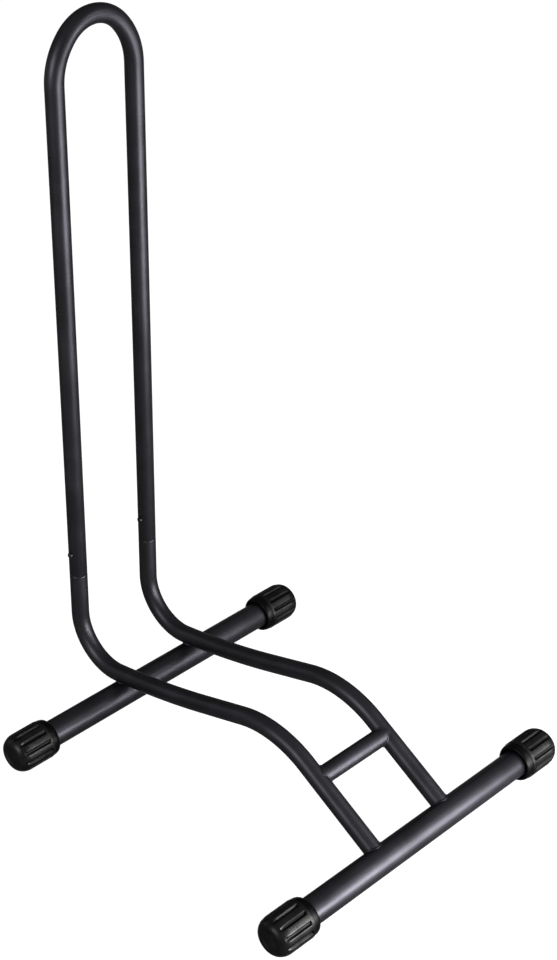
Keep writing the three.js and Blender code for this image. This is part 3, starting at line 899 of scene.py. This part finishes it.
def build_rack():
    coat = powder_coat()
    rubbed = powder_coat("rubbed_powder_coat", scratched=True)
    rubber = moulded_rubber("moulded_rubber", RUBBER_DARK, RUBBER_LIGHT)
    # A darker copy of the rubber, painted shade for the caps' mouths and flute floors
    painted_shade_rubber = moulded_rubber("painted_shade_rubber", PAINTED_SHADE_DARK, PAINTED_SHADE_LIGHT)
    steel = blackened_steel()
    hoop(coat)
    cross_tube(coat)
    foot_tube("front", FRONT_AXIS, FRONT_LOW.x, FRONT_HIGH.x, coat)
    foot_tube("rear", REAR_AXIS, REAR_LOW.x, REAR_HIGH.x, coat)
    for side, sign in (("left", -1), ("right", 1)):
        x = sign * LEG_X
        side_tube(f"{side}_bent_tube", f"{side}_side_tube", x, coat, rubbed)
        foot_end = FRONT_AXIS + X_AXIS * x
        end_fillet(f"{side}_foot_fillet", f"{side}_front_weld", foot_end, RISE, X_AXIS, FOOT_R, coat)
        end_fillet(
            f"{side}_bar_fillet",
            f"{side}_crossbar_weld",
            BAR_CENTRE + X_AXIS * x,
            X_AXIS * -sign,
            RISE,
            FRAME_R,
            coat,
            saddle=BEAD_SADDLE,
        )
        seat_bead(f"{side}_seat_bead", f"{side}_rear_weld", x, coat)
        snap_button(side, x, steel)
        button_spring(side, x, steel)
        for end, y in (("front", FRONT_Y), ("rear", REAR_Y)):
            rubber_cap(end, side, sign, y, rubber, painted_shade_rubber)


# ---------------------------------------------------------------- camera, floor and light


# The camera, as fitted to the photo. Its azimuth counts from -Y towards +X.
CAMERA_PLACE = Vector((-1.1504, -1.1227, 1.3188))
CAMERA_AZIMUTH = math.radians(-44.747)
CAMERA_ELEVATION = math.radians(31.451)
PHOTO_WIDTH = 557
PHOTO_HEIGHT = 960
FOCAL_PIXELS = 1965.2
AXIS_PIXEL_X = 234.5  # the photo is cropped, so the camera's axis isn't at its middle
SENSOR = 36  # mm


def photo_camera():
    data = bpy.data.cameras.new("camera")
    data.sensor_width = SENSOR
    data.lens = FOCAL_PIXELS * SENSOR / PHOTO_HEIGHT
    data.shift_x = (PHOTO_WIDTH / 2 - AXIS_PIXEL_X) / PHOTO_HEIGHT
    camera = bpy.data.objects.new("camera", data)
    bpy.context.scene.collection.objects.link(camera)
    level = toward(CAMERA_AZIMUTH, -Y_AXIS, X_AXIS)
    back = toward(CAMERA_ELEVATION, level, Z_AXIS)
    camera.location = CAMERA_PLACE
    camera.rotation_euler = (-back).to_track_quat("-Z", "Y").to_euler()
    bpy.context.scene.camera = camera


FLOOR_HALF = 8
FLOOR_DROP = 0.02 * MM
FLOOR_COLOUR = (0.9, 0.9, 0.9, 1)
FLOOR_WHITE = 1.08  # brightness of the plain white that the camera sees on the floor
WHITE_SHARE = 0.88  # how much of the floor that the camera sees is that white


def seen_directly(tree):
    """1 for camera, glossy and transmission rays."""
    rays = tree.nodes.new("ShaderNodeLightPath")
    total = rays.outputs["Is Camera Ray"]
    for name in ("Is Glossy Ray", "Is Transmission Ray"):
        larger = tree.nodes.new("ShaderNodeMath")
        larger.operation = "MAXIMUM"
        tree.links.new(total, larger.inputs[0])
        tree.links.new(rays.outputs[name], larger.inputs[1])
        total = larger.outputs["Value"]
    return total


def floor_material():
    """A diffuse pale floor that looks nearly white to the rays that see it directly."""
    material = bpy.data.materials.new("pale_floor")
    material.use_nodes = True
    tree = material.node_tree
    tree.nodes.clear()
    output = tree.nodes.new("ShaderNodeOutputMaterial")
    mix = tree.nodes.new("ShaderNodeMixShader")
    diffuse = tree.nodes.new("ShaderNodeBsdfDiffuse")
    diffuse.inputs["Color"].default_value = FLOOR_COLOUR
    glow = tree.nodes.new("ShaderNodeEmission")
    glow.inputs["Strength"].default_value = FLOOR_WHITE
    share = tree.nodes.new("ShaderNodeMath")
    share.operation = "MULTIPLY"
    share.inputs[1].default_value = WHITE_SHARE
    tree.links.new(seen_directly(tree), share.inputs[0])
    tree.links.new(share.outputs["Value"], mix.inputs["Fac"])
    tree.links.new(diffuse.outputs["BSDF"], mix.inputs[1])
    tree.links.new(glow.outputs["Emission"], mix.inputs[2])
    tree.links.new(mix.outputs["Shader"], output.inputs["Surface"])
    return material


def pale_floor():
    bm = bmesh.new()
    corners = [(-1, -1), (1, -1), (1, 1), (-1, 1)]
    bm.faces.new([bm.verts.new((x * FLOOR_HALF, y * FLOOR_HALF, -FLOOR_DROP)) for x, y in corners])
    floor = new_piece("floor", bm, floor_material())


WORLD_LIGHT = 0.45


def pale_world():
    """White to the rays that see it directly, and dimmer as a light."""
    world = bpy.data.worlds.new("studio")
    bpy.context.scene.world = world
    world.use_nodes = True
    tree = world.node_tree
    background = tree.nodes["Background"]
    background.inputs["Color"].default_value = (1, 1, 1, 1)
    strength = tree.nodes.new("ShaderNodeMapRange")
    strength.inputs["To Min"].default_value = WORLD_LIGHT
    strength.inputs["To Max"].default_value = 1
    tree.links.new(seen_directly(tree), strength.inputs["Value"])
    tree.links.new(strength.outputs["Result"], background.inputs["Strength"])


LAMP_FACTOR = 4  # an area lamp's power is this times its radiance and its area


def soft_box(name, place, target, width, height, radiance):
    """A soft rectangular lamp that faces the target, with its height upright."""
    data = bpy.data.lights.new(name, "AREA")
    data.shape = "RECTANGLE"
    data.size = width
    data.size_y = height
    data.energy = LAMP_FACTOR * radiance * width * height
    lamp = bpy.data.objects.new(name, data)
    bpy.context.scene.collection.objects.link(lamp)
    lamp.location = place
    lamp.rotation_euler = (Vector(target) - Vector(place)).to_track_quat("-Z", "Y").to_euler()
    lamp.visible_camera = False


def front_box(name, place, width, height, radiance):
    """A soft box in front of the rack that faces straight back."""
    x, _, z = place
    soft_box(name, place, (x, 0, z), width, height, radiance)


def studio_lights():
    """Soft boxes that stand where the photo's highlights point to."""
    front_box("floor_strip_middle", (0.1, -0.8, 0.11), 0.44, 0.2, 58)
    front_box("floor_strip_right", (0.54, -0.8, 0.11), 0.44, 0.2, 24)
    front_box("floor_strip_near", (0.3, -0.55, 0.05), 0.4, 0.08, 31)
    front_box("floor_strip_nearest", (0, -0.42, 0.03), 0.3, 0.05, 5)
    front_box("front_middle", (0.1, -1.15, 0.26), 0.3, 0.2, 86)
    front_box("front_right", (0.7, -1.15, 0.5), 0.3, 0.26, 111)
    front_box("front_high", (0.7, -1.15, 1.25), 0.3, 0.6, 18)
    front_box("far_right_high", (1.2, -1.15, 1.35), 0.3, 0.4, 30)
    soft_box("left_wall", (-2.0, 0, 1.15), (0, 0, 1.15), 0.9, 0.9, 23)
    soft_box("back", (-0.9, 2.0, 0.6), (0, 0, 0.2), 0.8, 0.9, 3)


build_rack()
photo_camera()
pale_floor()
pale_world()
studio_lights()
bpy.context.scene.view_settings.view_transform = "Standard"
